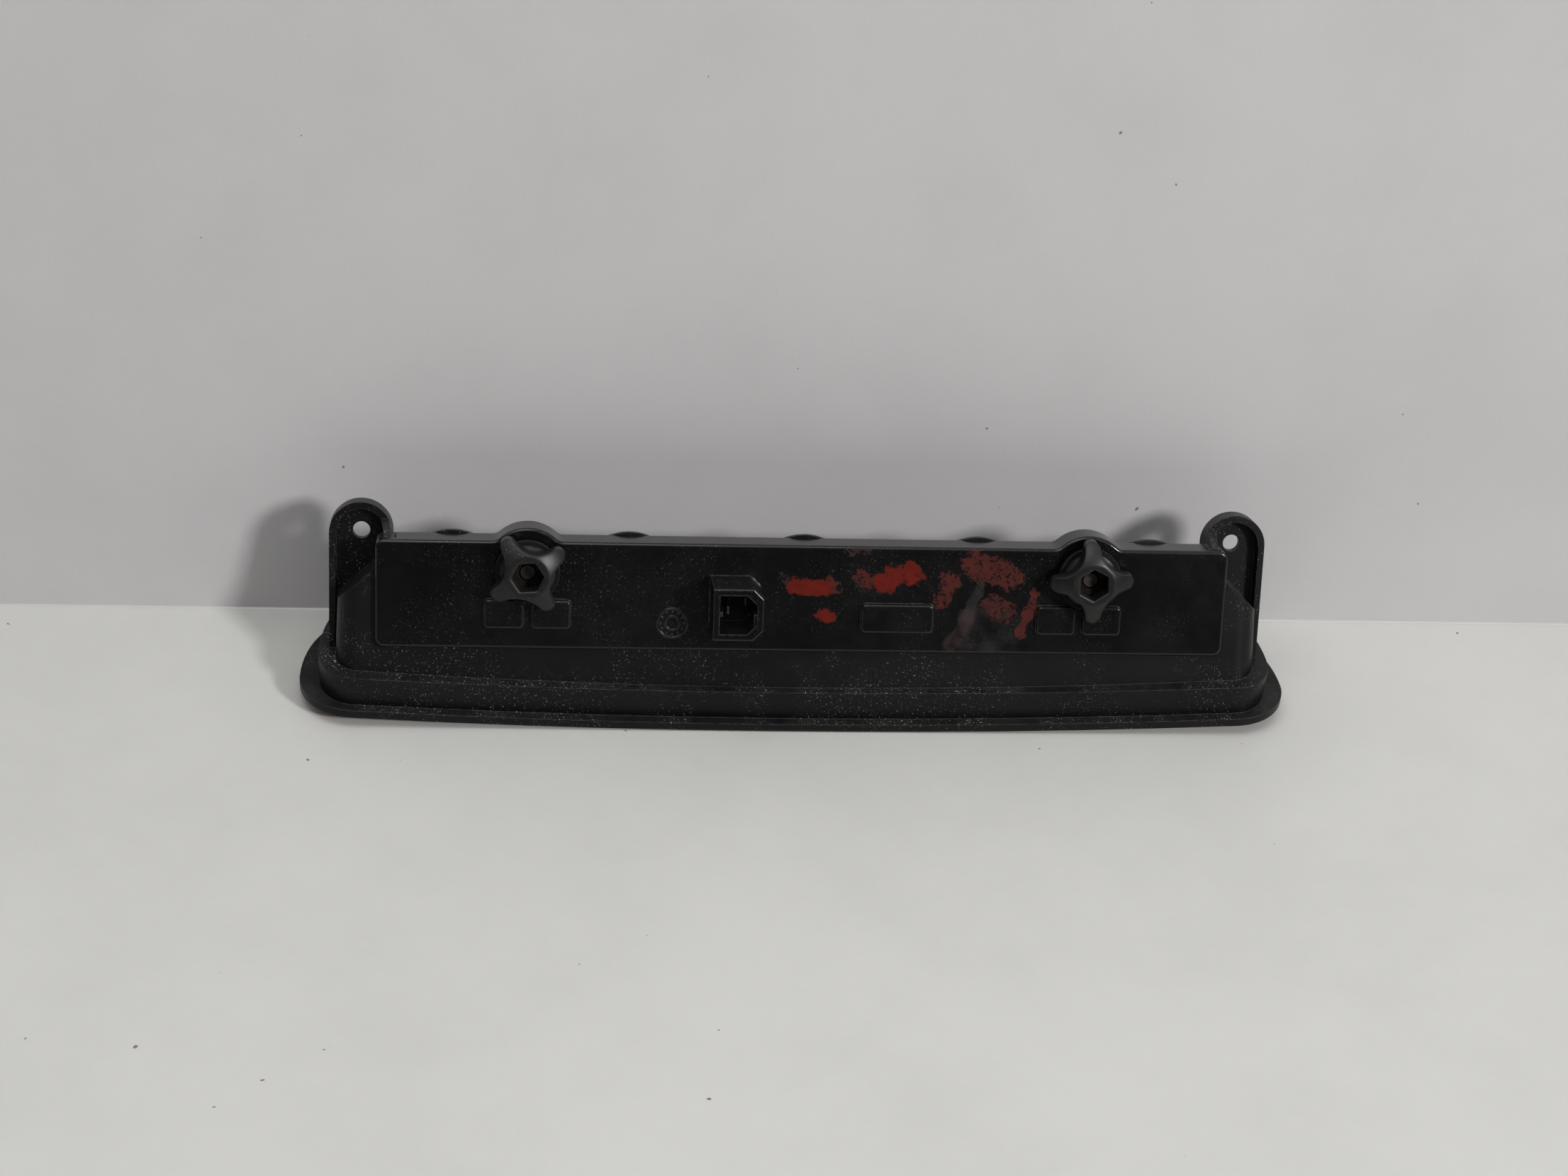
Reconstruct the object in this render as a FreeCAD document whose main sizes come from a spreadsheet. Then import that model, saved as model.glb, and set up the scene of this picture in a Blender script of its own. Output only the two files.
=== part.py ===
"""Third brake light: a black moulded housing with a red lens, five wedge-base bulbs and two star knobs.

The lamp stands on its lens, which is how it lies on a bench with its mounting side in view.
X runs along the lamp, Y from the mounting side to the far side, +Z away from the lens.
The origin is the lowest point of the lens, in the middle of the lamp's footprint.

The mounting face leans back, so most pieces are drawn upright in a "face frame" and then leaned:
its X is the lamp's X, its Y is the depth behind the block's front face and its Z climbs the face.
All lengths are millimetres and all angles degrees.
"""

import FreeCAD
import Part
import Sketcher
import math
import os

from FreeCAD import Placement, Rotation, Vector

DIMENSIONS = [
    # Lens flange and skirt, seen from above; both have egg-shaped ends.
    ("bend_radius", 2880, "the whole lens side is bent to this radius, middle lowest"),
    ("straight_half", 158.2, "half length of the straight long edges"),
    ("widest_line", 5.5, "the widest section lies this far ahead of the centre line"),
    ("flange_end", 19.2, "length of the flange's rounded ends"),
    ("flange_front", 24, "flange edge ahead of the centre line"),
    ("flange_back", 30, "flange edge behind the centre line"),
    ("flange_thick", 3.1, "flange thickness"),
    ("skirt_end", 12.4, "length of the skirt's rounded ends"),
    ("skirt_front", 20.4, "skirt wall ahead of the centre line"),
    ("skirt_back", 26.5, "skirt wall behind the centre line"),
    ("ledge_height", 14.4, "top of the skirt above the lowest point"),
    ("outline_height", 80, "height of the drawn outlines before they are trimmed by the bend"),
    ("wall", 2.2, "general wall thickness"),
    ("fit_gap", 0.05, "gap between pieces that fit into each other"),
    # Leaning block.
    ("lean", 20, "angle of the mounting face from upright"),
    ("face_foot", 17.2, "foot of the block's front face ahead of the centre line"),
    ("face_wall", 2.4, "thickness of the block's front wall"),
    ("block_half", 150.3, "half length of the tall part of the block"),
    ("roof_level", 52.8, "roof above the ledge, measured up the face"),
    ("roof_back", 8.4, "back edge of the roof behind the front face"),
    ("rear_foot_depth", 33.5, "foot of the back wall behind the front face"),
    ("rear_foot_level", 12.2, "foot of the back wall, measured up the face"),
    ("shoulder_half", 163.8, "half length of the low end blocks at their shoulder"),
    ("shoulder_foot", 164.8, "half length of the low end blocks at the ledge"),
    ("shoulder_level", 29.3, "outer end of the sloping shoulder"),
    ("shoulder_top", 41.8, "inner end of the sloping shoulder"),
    ("corner_radius", 8, "rounding of the end blocks' front corners"),
    ("root_depth", 6, "how far the block runs down into the skirt"),
    # Ears.
    ("ear_outer", 167, "outer face of the ear walls from the middle"),
    ("ear_centre", 155.9, "ear hole from the middle"),
    ("ear_level", 51.3, "ear hole, measured up the face"),
    ("ear_radius", 11.1, "outer radius of the ear arch"),
    ("ear_recess", 8.6, "inner radius of the ear arch"),
    ("ear_hole", 3.05, "radius of the mounting hole"),
    ("ear_rim", 12.2, "front edge of the ear rim behind the front face"),
    ("ear_floor", 17, "ear plate's front behind the front face"),
    ("ear_back", 19.4, "ear plate's back behind the front face"),
    ("ear_slot", 164.8, "inner face of the ear wall from the middle"),
    ("ear_seat", 8, "radius of the round seat behind each ear"),
    ("ear_seat_rise", 0.6, "the seat stands this far behind the ear plate"),
    ("ear_step", 0.4, "ledge between the block's end and the ear's channel"),
    ("web_width", 8, "curled web from the ear arch to the block's top corner, along the lamp"),
    # Light chambers.
    ("chamber_pitch", 62, "spacing of the five light chambers"),
    ("bulge_half_length", 28, "half width of a chamber bulge along the lamp"),
    ("bulge_depth", 15.5, "half width of a chamber bulge across the lamp"),
    ("bulge_rise", 47.9, "height of a chamber bulge above the ledge"),
    ("bulge_line", 8, "centre of the bulges behind the centre line"),
    # Cover on the mounting face.
    ("cover_proud", 3, "cover stands this far in front of the block"),
    ("cover_plate", 2.6, "thickness of the cover plate"),
    ("cover_bottom", 14.1, "lower edge of the cover, measured up the face"),
    ("cover_lip_half", 143.6, "half length of the cover's roof lip"),
    ("cover_lip", 2, "thickness of the cover's roof lip"),
    ("cover_corner", 3, "corner radius of the cover"),
    ("cover_round", 1.1, "rounding of the cover's front edges"),
    ("cover_rim", 1.6, "rim of the cover that meets the block"),
    ("opening_half", 146, "half length of the opening behind the cover"),
    ("opening_bottom", 17.5, "lower edge of the opening"),
    ("opening_top", 48.4, "upper edge of the opening"),
    ("bump_radius", 14.7, "half-round bump around each stud"),
    ("bump_blend", 4, "radius between bump and roof"),
    ("pad_width", 13.6, "small raised pad, along the lamp"),
    ("pad_height", 10.3, "raised pads, up the face"),
    ("pad_gap", 2.8, "gap between the two pads of a pair"),
    ("pad_rise", 2.2, "raised pads stand this far off the cover"),
    ("pad_level", 27.1, "centre of the raised pads, measured up the face"),
    ("pad_corner", 1.5, "rounding of the pads' corners"),
    ("pad_round", 0.7, "rounding of the pads' front edges"),
    ("pad_pair", 97.5, "centre of each pair of pads from the middle"),
    ("long_pad_width", 25.6, "long raised pad, along the lamp"),
    ("long_pad_centre", 32.6, "centre of the long raised pad from the middle"),
    # Connector socket.
    ("socket_centre", -25, "socket from the middle"),
    ("socket_level", 32.4, "socket centre, measured up the face"),
    ("socket_width", 17.6, "socket, along the lamp"),
    ("socket_height", 18.4, "socket, up the face"),
    ("socket_rise", 19, "socket stands this far off the cover"),
    ("socket_wall", 2.3, "socket wall"),
    ("socket_chamfer", 3.5, "socket corner chamfers"),
    ("socket_floor", 1.2, "socket floor above the cover's front"),
    ("socket_round", 0.5, "rounding of the socket's mouth"),
    ("key_width", 1.1, "keys in the socket, how far they stand in"),
    ("key_setback", 1, "keys start this far inside the mouth"),
    ("left_key_height", 1.6, "narrow key on the socket's left"),
    ("right_key_height", 5, "broad key on the socket's right"),
    ("mark_centre", -46.8, "moulded date ring from the middle"),
    ("mark_level", 24.2, "moulded date ring, measured up the face"),
    ("mark_radius", 5.5, "moulded date ring"),
    ("mark_rise", 0.25, "moulded date ring stands this far off the cover"),
    ("mark_line", 0.5, "line width of the moulded date ring"),
    ("mark_dot", 0.3, "radius of the date ring's dots"),
    # Studs and star knobs, M6.
    ("stud_left", -97.6, "left stud from the middle"),
    ("stud_right", 100.2, "right stud from the middle"),
    ("stud_level", 42.9, "studs, measured up the face"),
    ("stud_radius", 3, "M6 thread radius"),
    ("thread_pitch", 1, "M6 thread pitch"),
    ("thread_depth", 0.35, "depth of the thread grooves"),
    ("stud_reach", 4.2, "stud end in front of the cover"),
    ("stud_chamfer", 0.5, "chamfer of the stud end"),
    ("stud_head_radius", 5.4, "stud head"),
    ("stud_head_height", 3.6, "stud head"),
    ("running_gap", 0.06, "radial clearance of the turning parts"),
    ("bore_gap", 0.02, "radial clearance of the pressed-in studs and blades"),
    ("washer_gap", 2.35, "washer's underside in front of the cover"),
    ("washer_thick", 1.6, "captive washer"),
    ("washer_radius", 11.2, "captive washer"),
    ("neck_radius", 7.5, "knob neck inside the washer"),
    ("knob_gap", 0.1, "knob's underside above the washer"),
    ("knob_front", 12, "knob's front face in front of the cover"),
    ("knob_tip_reach", 14.9, "lobe tips from the knob's axis"),
    ("knob_tip_radius", 2.7, "rounding of the lobe tips"),
    ("knob_waist", 8, "narrowest radius between lobes"),
    ("knob_face_radius", 7.4, "flat part of the knob's front face"),
    ("knob_tip_height", 3.6, "lobe thickness at the tips"),
    ("neck_gap", 0.45, "underside of the knob's neck in front of the cover"),
    ("knob_floor", 0.8, "floor under the knob's hexagonal pocket"),
    ("knob_flare", 3, "hollow flare between the knob's foot and its lobes"),
    ("knob_foot_radius", 9.5, "the knob's round foot, on the washer"),
    ("knob_rim", 0.4, "upright edge of the knob's round foot"),
    ("knob_turn_left", 34, "direction of a lobe of the left knob"),
    ("knob_turn_right", 3.5, "direction of a lobe of the right knob"),
    ("nut_across", 10, "hexagon across flats"),
    ("nut_thick", 3.2, "hexagon nut, thin pattern"),
    ("nut_gap", 0.04, "clearance around the nut"),
    ("nut_turn", 30, "the pocket's flats face the lobes"),
    # Lens side.
    ("lens_edge", 4.2, "flange rim around the lens"),
    ("lens_thick", 1.8, "lens thickness"),
    ("seal_thick", 0.6, "lens seal thickness"),
    ("lens_wall_top", 9.1, "top of the lens's inner wall"),
    ("lens_wall", 1.6, "thickness of the lens's inner wall"),
    ("lens_gap", 0.1, "gap around the lens and its inner wall"),
    ("flute_pitch", 6.2, "spacing of the lens's inner ribs"),
    ("flute_rise", 0.5, "crest of the ribs above the lens plate"),
    ("reflector_level", 9.2, "underside of the reflector plate"),
    ("reflector_thick", 1.2, "reflector thickness"),
    ("bowl_half_length", 24, "half width of a reflector bowl along the lamp"),
    ("bowl_depth", 14.5, "half width of a reflector bowl across the lamp"),
    ("bowl_rise", 37, "height of a reflector bowl above its centre"),
    ("bowl_line", 5, "centre of the bowls behind the centre line"),
    ("bowl_foot", 0.8, "centre of the bowls above the reflector's underside"),
    ("port_gap", 0.7, "radial room around each bulb holder"),
    # Bulbs and wiring.
    ("bulb_level", 24, "bulb axes, measured up the face"),
    ("bulb_radius", 4.7, "bulb glass"),
    ("bulb_length", 24, "bulb glass with its wedge base"),
    ("glass_thick", 0.6, "bulb glass"),
    ("wedge_thick", 2.4, "wedge base of the bulbs"),
    ("wedge_foot", 1, "foot of the wedge behind the block's front face"),
    ("wedge_gap", 0.05, "clearance of the wedge in its slot"),
    ("lead_radius", 0.25, "leads that carry the filament"),
    ("lead_length", 7, "leads that carry the filament"),
    ("lead_spacing", 4, "distance between the two leads"),
    ("coil_radius", 0.45, "filament coil"),
    ("coil_length", 5, "filament coil"),
    ("holder_radius", 6.2, "bulb holder"),
    ("holder_length", 8, "bulb holder"),
    ("holder_flat", 5.5, "flat on top of the bulb holder, above its axis"),
    ("finger_offset", 1.9, "contact fingers beside the bulb axes"),
    ("finger_width", 1.6, "contact fingers"),
    ("strip_thick", 0.5, "contact strips"),
    ("strip_width", 2, "contact strips"),
    ("strip_reach", 130, "half length of the contact strips"),
    ("blade_width", 2.8, "connector blades"),
    ("blade_thick", 0.8, "connector blades"),
    ("blade_reach", 11.5, "connector blades in front of the cover"),
    ("blade_foot", 0.4, "bent foot of the blades, against the strip"),
    ("supply_level", 32.2, "supply strip, measured up the face"),
    ("ground_level", 35.4, "ground strip, measured up the face"),
    ("supply_depth", 0.8, "supply strip behind the block's front face"),
    ("ground_depth", 2, "ground strip behind the block's front face"),
    ("supply_blade", -28.2, "supply blade from the middle"),
    ("ground_blade", -22.2, "ground blade from the middle"),
]

CHAMBERS = (-2, -1, 0, 1, 2)
SIDES = {"left": -1, "right": 1}

doc = FreeCAD.newDocument("third_brake_light")
sheet = doc.addObject("Spreadsheet::Sheet", "Dims")
subparts = []


def fill_sheet():
    """One row per driving dimension: its name, its value under an alias, and what it is."""
    for row, (alias, value, meaning) in enumerate(DIMENSIONS, start=1):
        sheet.set(f"A{row}", alias)
        sheet.set(f"B{row}", str(value))
        sheet.setAlias(f"B{row}", alias)
        sheet.set(f"C{row}", meaning)
    doc.recompute()


def size(alias):
    """A driving dimension as a plain number."""
    return float(sheet.get(alias))


# --- general helpers ---------------------------------------------------------------------------


def bind(thing, **expressions):
    """Bind properties to sheet expressions; a double underscore stands for a dot."""
    for name, expression in expressions.items():
        thing.setExpression(name.replace("__", "."), str(expression))
    return thing


def move(thing, x=0, y=0, z=0):
    """Bind an object's position to three expressions."""
    return bind(thing, Placement__Base__x=x, Placement__Base__y=y, Placement__Base__z=z)


def lean_back(thing):
    """Put something drawn in the face frame into the lamp's own frame."""
    thing.Placement = Placement(Vector(0, 0, 0), Rotation(Vector(-1, 0, 0), size("lean")))
    move(thing, 0, "-Dims.face_foot", "Dims.ledge_height")
    return bind(thing, Placement__Rotation__Angle="Dims.lean")


def leaned(thing):
    """Lean a body that already has a place of its own in the face frame."""
    thing.Placement = Placement(Vector(0, 0, 0), Rotation(Vector(-1, 0, 0), size("lean")))
    front = thing.ExpressionEngine
    own = next(expression for path, expression in front if path.endswith("Base.y"))
    along, across = "cos(Dims.lean * 1 deg)", "sin(Dims.lean * 1 deg)"
    move(thing, 0, f"-Dims.face_foot + ({own}) * {along}", f"Dims.ledge_height - ({own}) * {across}")
    return bind(thing, Placement__Rotation__Angle="Dims.lean")


def boolean(kind, name, first, second):
    """Part::Cut or Part::Common of two objects."""
    result = doc.addObject(kind, name)
    result.Base = first
    result.Tool = second
    return result


def cut(name, first, second):
    return boolean("Part::Cut", name, first, second)


def common(name, first, second):
    return boolean("Part::Common", name, first, second)


def fuse(name, *pieces):
    result = doc.addObject("Part::MultiFuse", name)
    result.Shapes = list(pieces)
    return result


def box(name, x, y, z, length, width, height):
    """Box from its lowest corner; every argument is an expression."""
    solid = bind(doc.addObject("Part::Box", name), Length=length, Width=width, Height=height)
    return move(solid, x, y, z)


def face_cylinder(name, radius, x, level, front, length):
    """Cylinder square to the mounting face, from depth front backwards; face frame."""
    solid = bind(doc.addObject("Part::Cylinder", name), Radius=radius, Height=length)
    solid.Placement = Placement(Vector(0, 0, 0), Rotation(Vector(1, 0, 0), -90))
    return move(solid, x, front, level)


def finish(label, thing):
    """Register a finished sub-part under the name of its file."""
    thing.Label = label
    subparts.append(thing)
    return thing


# --- sketches and pads -------------------------------------------------------------------------


def new_sketch(body, role):
    """Sketch on one of the body's own origin planes, named by its role."""
    plane = next(item for item in body.Origin.OriginFeatures if item.Role == role)
    sketch = body.newObject("Sketcher::SketchObject", body.Name + "_sketch")
    sketch.AttachmentSupport = [(plane, "")]
    sketch.MapMode = "FlatFace"
    return sketch


def hold(sketch, kind, item, corner, expression):
    """Hold one coordinate of a point to an expression, measured from the sketch's origin."""
    index = sketch.addConstraint(Sketcher.Constraint(kind, -1, 1, item, corner, 1.0))
    sketch.setExpression(f"Constraints[{index}]", str(expression))


def draw_polygon(sketch, corners):
    """Closed polygon whose corners are pairs of expressions."""
    count = len(corners)
    start = [Vector(math.cos(2 * math.pi * i / count), math.sin(2 * math.pi * i / count), 0)
             for i in range(count)]
    for i in range(count):
        sketch.addGeometry(Part.LineSegment(start[i], start[(i + 1) % count]), False)
    for i in range(count):
        sketch.addConstraint(Sketcher.Constraint("Coincident", i, 2, (i + 1) % count, 1))
    for i, (across, up) in enumerate(corners):
        hold(sketch, "DistanceX", i, 1, across)
        hold(sketch, "DistanceY", i, 1, up)


def pad(body, sketch, length, midplane=False, reverse=False):
    feature = body.newObject("PartDesign::Pad", body.Name + "_pad")
    feature.Profile = sketch
    feature.Midplane = midplane
    feature.Reversed = reverse
    return bind(feature, Length=length)


def prism(name, role, corners, length, midplane=False, reverse=False):
    """Body with one padded polygon."""
    body = doc.addObject("PartDesign::Body", name)
    sketch = new_sketch(body, role)
    draw_polygon(sketch, corners)
    pad(body, sketch, length, midplane, reverse)
    return body


def rectangle(half, low, high):
    """Corners of a rectangle that is centred on the lamp."""
    return [(f"-({half})", low), (half, low), (half, high), (f"-({half})", high)]


def face_prism(name, corners, front, length):
    """Polygon drawn on the mounting face (X, up the face), padded backwards from depth front."""
    return move(prism(name, "XZ_Plane", corners, length, reverse=True), 0, front, 0)


def round_edges(body, radius, wanted):
    """Fillet the edges of a body's last feature that pass a test."""
    doc.recompute()
    blank = body.Tip
    names = [f"Edge{i}" for i, edge in enumerate(blank.Shape.Edges, start=1) if wanted(edge)]
    rounding = body.newObject("PartDesign::Fillet", body.Name + "_round")
    rounding.Base = (blank, names)
    return bind(rounding, Radius=radius)


def quarter_ellipse(centre, along, across, quadrant):
    """Quarter of an ellipse in the given quadrant (1 to 4), for a sketch."""
    if along >= across:
        curve = Part.Ellipse(centre + Vector(along, 0, 0), centre + Vector(0, across, 0), centre)
        turn = 0
    else:
        curve = Part.Ellipse(centre + Vector(0, across, 0), centre - Vector(along, 0, 0), centre)
        turn = 1
    first = (quadrant - 1 - turn) * math.pi / 2
    return Part.ArcOfEllipse(curve, first, first + math.pi / 2)


def plan(name, end, front, back):
    """Tall prism with the lamp's outline from above: straight edges and egg-shaped ends."""
    straight = size("straight_half")
    widest = -size("widest_line")
    body = doc.addObject("PartDesign::Body", name)
    sketch = new_sketch(body, "XY_Plane")
    right = Vector(straight, widest, 0)
    left = Vector(-straight, widest, 0)
    sketch.addGeometry(Part.LineSegment(Vector(-straight, -front, 0), Vector(straight, -front, 0)))
    sketch.addGeometry(quarter_ellipse(right, end, front + widest, 4))
    sketch.addGeometry(quarter_ellipse(right, end, back - widest, 1))
    sketch.addGeometry(Part.LineSegment(Vector(straight, back, 0), Vector(-straight, back, 0)))
    sketch.addGeometry(quarter_ellipse(left, end, back - widest, 2))
    sketch.addGeometry(quarter_ellipse(left, end, front + widest, 3))
    pad(body, sketch, "Dims.outline_height", midplane=True)
    return body


def flange_plan(name, inset):
    return plan(name, size("flange_end") - inset, size("flange_front") - inset, size("flange_back") - inset)


def skirt_plan(name, inset):
    return plan(name, size("skirt_end") - inset, size("skirt_front") - inset, size("skirt_back") - inset)


def bend_roller(name, level):
    """Long cylinder across the lamp whose lowest line is at the given level."""
    breadth = "4 * Dims.flange_back"
    radius = f"Dims.bend_radius - ({level})"
    solid = bind(doc.addObject("Part::Cylinder", name), Radius=radius, Height=breadth)
    solid.Placement = Placement(Vector(0, 0, 0), Rotation(Vector(1, 0, 0), -90))
    return move(solid, 0, f"-({breadth}) / 2", "Dims.bend_radius")


def bent_slab(name, outline, low, high):
    """The outline between two levels of the lamp's bend."""
    below = common(name + "_above_low", outline, bend_roller(name + "_low", low))
    return cut(name, below, bend_roller(name + "_high", high))


# --- housing -----------------------------------------------------------------------------------


def block_profile(name, front, top, rear, half):
    """Tall block from the side (depth, up the face): upright front, short roof, sloping back."""
    slope = "(Dims.rear_foot_depth - Dims.roof_back) / (Dims.roof_level - Dims.rear_foot_level)"
    low = "-Dims.root_depth"
    rear_low = "Dims.root_depth / 2"
    corners = [
        (front, low),
        (front, top),
        (f"Dims.roof_back - ({rear}) + (Dims.roof_level - ({top})) * {slope}", top),
        (f"Dims.roof_back - ({rear}) + (Dims.roof_level - {rear_low}) * {slope}", rear_low),
    ]
    return prism(name, "YZ_Plane", corners, f"2 * ({half})", midplane=True)


def end_block(side, sign):
    """Low block at one end, with a sloping shoulder and a round front corner."""
    inner = f"{sign} * (Dims.block_half - Dims.wall / 2)"
    corners = [
        (inner, "-Dims.root_depth / 4"),
        (f"{sign} * Dims.shoulder_foot", "-Dims.root_depth / 4"),
        (f"{sign} * Dims.shoulder_half", "Dims.shoulder_level"),
        (f"{sign} * Dims.block_half", "Dims.shoulder_top"),
        (inner, "Dims.shoulder_top"),
    ]
    body = face_prism(f"end_block_{side}", corners, 0, "Dims.ear_back")
    limit = size("shoulder_half") - 1
    round_edges(body, "Dims.corner_radius", lambda edge: edge.BoundBox.YMax < 0.01
                and abs(edge.CenterOfMass.x) > limit and edge.BoundBox.ZLength > 20)
    return body


def ear(side, sign):
    """Arch, wall and plate of one ear: a deep keyhole recess with the mounting hole in its floor."""
    centre = f"{sign} * Dims.ear_centre"
    depth = "Dims.ear_back - Dims.ear_rim"
    inner = "Dims.block_half - 3"
    arch = face_cylinder(f"arch_{side}", "Dims.ear_radius", centre, "Dims.ear_level", "Dims.ear_rim", depth)
    seat = face_cylinder(f"ear_seat_{side}", "Dims.ear_seat", centre, "Dims.ear_level", "Dims.ear_floor",
                         "Dims.ear_back + Dims.ear_seat_rise - Dims.ear_floor")
    wall_corners = [
        (f"{sign} * ({inner})", "-Dims.root_depth / 4"),
        (f"{sign} * Dims.ear_outer", "-Dims.root_depth / 4"),
        (f"{sign} * Dims.ear_outer", "Dims.ear_level"),
        (f"{sign} * ({inner})", "Dims.ear_level"),
    ]
    wall = face_prism(f"ear_wall_{side}", wall_corners, "Dims.ear_rim", depth)
    gusset = prism(f"web_side_{side}", "YZ_Plane", [
        ("0", "Dims.ear_level"),
        ("0", "Dims.roof_level + 0.2"),
        ("Dims.ear_rim + 1", "Dims.ear_level + Dims.ear_radius / 2"),
        ("Dims.ear_rim + 1", "Dims.ear_level"),
    ], "Dims.web_width", midplane=True)
    web = common(f"ear_web_{side}",
                 face_cylinder(f"web_arch_{side}", "Dims.ear_radius", centre, "Dims.ear_level", "0",
                               "Dims.ear_rim + 1"),
                 move(gusset, f"{sign} * (Dims.block_half - Dims.web_width / 2)", 0, 0))
    return cut(f"ear_{side}", fuse(f"ear_solid_{side}", arch, seat, wall, web),
               fuse(f"ear_opening_{side}", *ear_recesses(side, sign)))


def ear_recesses(side, sign):
    """What is cut from an ear: the round recess, the channel below it and the mounting hole."""
    centre = f"{sign} * Dims.ear_centre"
    open_depth = "Dims.ear_floor + Dims.cover_proud + 1"
    front = "-Dims.cover_proud - 1"
    recess = face_cylinder(f"ear_recess_{side}", "Dims.ear_recess", centre, "Dims.ear_level", front,
                           open_depth)
    channel = face_prism(f"ear_channel_{side}", [
        (f"{sign} * (Dims.block_half + Dims.ear_step)", "-Dims.root_depth / 5"),
        (f"{sign} * Dims.ear_slot", "-Dims.root_depth / 5"),
        (f"{sign} * Dims.ear_slot", "Dims.ear_level"),
        (f"{sign} * (Dims.block_half + Dims.ear_step)", "Dims.ear_level"),
    ], front, open_depth)
    hole = face_cylinder(f"ear_hole_{side}", "Dims.ear_hole", centre, "Dims.ear_level",
                         "Dims.ear_floor - 1", "Dims.ear_back - Dims.ear_floor + 2")
    return [recess, channel, hole]


def bulge(name, chamber, inset):
    """Egg-shaped outside of one light chamber, or its hollow when inset."""
    solid = bind(doc.addObject("Part::Ellipsoid", name),
                 Radius1=f"Dims.bulge_rise - {inset}",
                 Radius2=f"Dims.bulge_half_length - {inset}",
                 Radius3=f"Dims.bulge_depth - {inset}")
    return move(solid, f"{chamber} * Dims.chamber_pitch", "Dims.bulge_line", "Dims.ledge_height")


def stud_bosses(name, radius, front, length):
    """A round boss or bore around each stud; face frame."""
    return [face_cylinder(f"{name}_{side}", radius, f"Dims.stud_{side}", "Dims.stud_level", front, length)
            for side in SIDES]


def lip_room(name, depth):
    """Room for the cover's roof lip, from in front of the block back to a depth."""
    half = "Dims.cover_lip_half + Dims.fit_gap"
    step = "Dims.roof_level - Dims.cover_lip - Dims.fit_gap"
    return face_prism(name, rectangle(half, step, "Dims.roof_level + 9"), "-1", f"{depth} + 1")


def leaning_outside():
    """Everything of the housing that leans: block, roof bumps, end blocks and ears."""
    tall = block_profile("tall_block", "0", "Dims.roof_level", "0", "Dims.block_half")
    roof = size("roof_level") - 0.01
    round_edges(tall, "Dims.cover_corner", lambda edge: edge.BoundBox.ZMin > roof
                and edge.BoundBox.XLength < 0.01)
    tall = cut("tall_block_stepped", tall, lip_room("block_lip_room", "Dims.roof_back + 4"))
    bumps = stud_bosses("bump_core", "Dims.bump_radius - Dims.cover_lip - Dims.fit_gap", "0",
                        "Dims.roof_back - 0.1")
    pieces = [tall, *bumps]
    for side, sign in SIDES.items():
        pieces.append(ear(side, sign))
        pieces.append(end_block(side, sign))
    return lean_back(fuse("leaning_outside", *pieces))


def leaning_hollow():
    """Room inside the leaning part: main chamber, opening behind the cover and end pockets."""
    main = block_profile("main_chamber", "Dims.face_wall", "Dims.roof_level - 2 * Dims.wall",
                         "Dims.wall * 1.3", "Dims.block_half - Dims.wall")
    opening = face_prism("cover_opening", rectangle("Dims.opening_half", "Dims.opening_bottom",
                                                    "Dims.opening_top"), "-1", "Dims.face_wall + 2")
    pieces = [main, opening]
    for side, sign in SIDES.items():
        pieces.append(face_prism(f"end_pocket_{side}", [
            (f"{sign} * (Dims.block_half + Dims.wall)", "-Dims.root_depth"),
            (f"{sign} * (Dims.shoulder_half - Dims.wall)", "-Dims.root_depth"),
            (f"{sign} * (Dims.shoulder_half - Dims.wall)", "Dims.shoulder_level - Dims.wall"),
            (f"{sign} * (Dims.block_half + Dims.wall)", "Dims.shoulder_top - 2 * Dims.wall"),
        ], "Dims.face_wall", "Dims.ear_floor - 2 * Dims.face_wall"))
    return lean_back(fuse("leaning_hollow", *pieces))


def housing():
    """Black moulding: flange, skirt, leaning block with five chamber bulges, and two ears."""
    flange = bent_slab("flange_band", flange_plan("flange_outline", 0), "0", "Dims.flange_thick")
    skirt = bent_slab("skirt_band", skirt_plan("skirt_outline", 0), "Dims.flange_thick / 2",
                      "Dims.ledge_height")
    bulges = [bulge(f"bulge_{i}", chamber, "0") for i, chamber in enumerate(CHAMBERS)]
    behind_face = leaned(face_prism("behind_face", rectangle("Dims.block_half", "-40", "Dims.roof_level + 9"),
                                    "Dims.face_wall", "80"))
    shown = cut("bulges_behind_lip", fuse("bulge_row", *bulges),
                leaned(lip_room("bulge_lip_room", "Dims.roof_back + Dims.fit_gap")))
    bulges = common("bulges_above_ledge", common("bulges", shown, behind_face),
                    bend_roller("above_ledge", "Dims.ledge_height - Dims.wall"))
    above_flange = bend_roller("above_flange", "Dims.flange_thick / 2")
    upper = common("upper_shell", fuse("upper_raw", leaning_outside(), bulges), above_flange)
    outside = fuse("housing_outside", flange, skirt, upper)

    recess_level = "Dims.lens_thick + Dims.seal_thick"
    lens_room = bent_slab("lens_room", flange_plan("lens_room_outline", size("lens_edge")), "-5",
                          recess_level)
    low_room = bent_slab("low_room", skirt_plan("low_room_outline", size("wall")), "-5",
                         "Dims.ledge_height - Dims.wall")
    hollows = [bulge(f"bulge_hollow_{i}", chamber, "Dims.wall") for i, chamber in enumerate(CHAMBERS)]
    hollow_row = common("bulge_hollows", fuse("bulge_hollow_row", *hollows), behind_face)
    hollow = fuse("housing_hollow", lens_room, low_room, leaning_hollow(), hollow_row)
    finish("housing", cut("housing", outside, hollow))


# --- cover -------------------------------------------------------------------------------------


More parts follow.
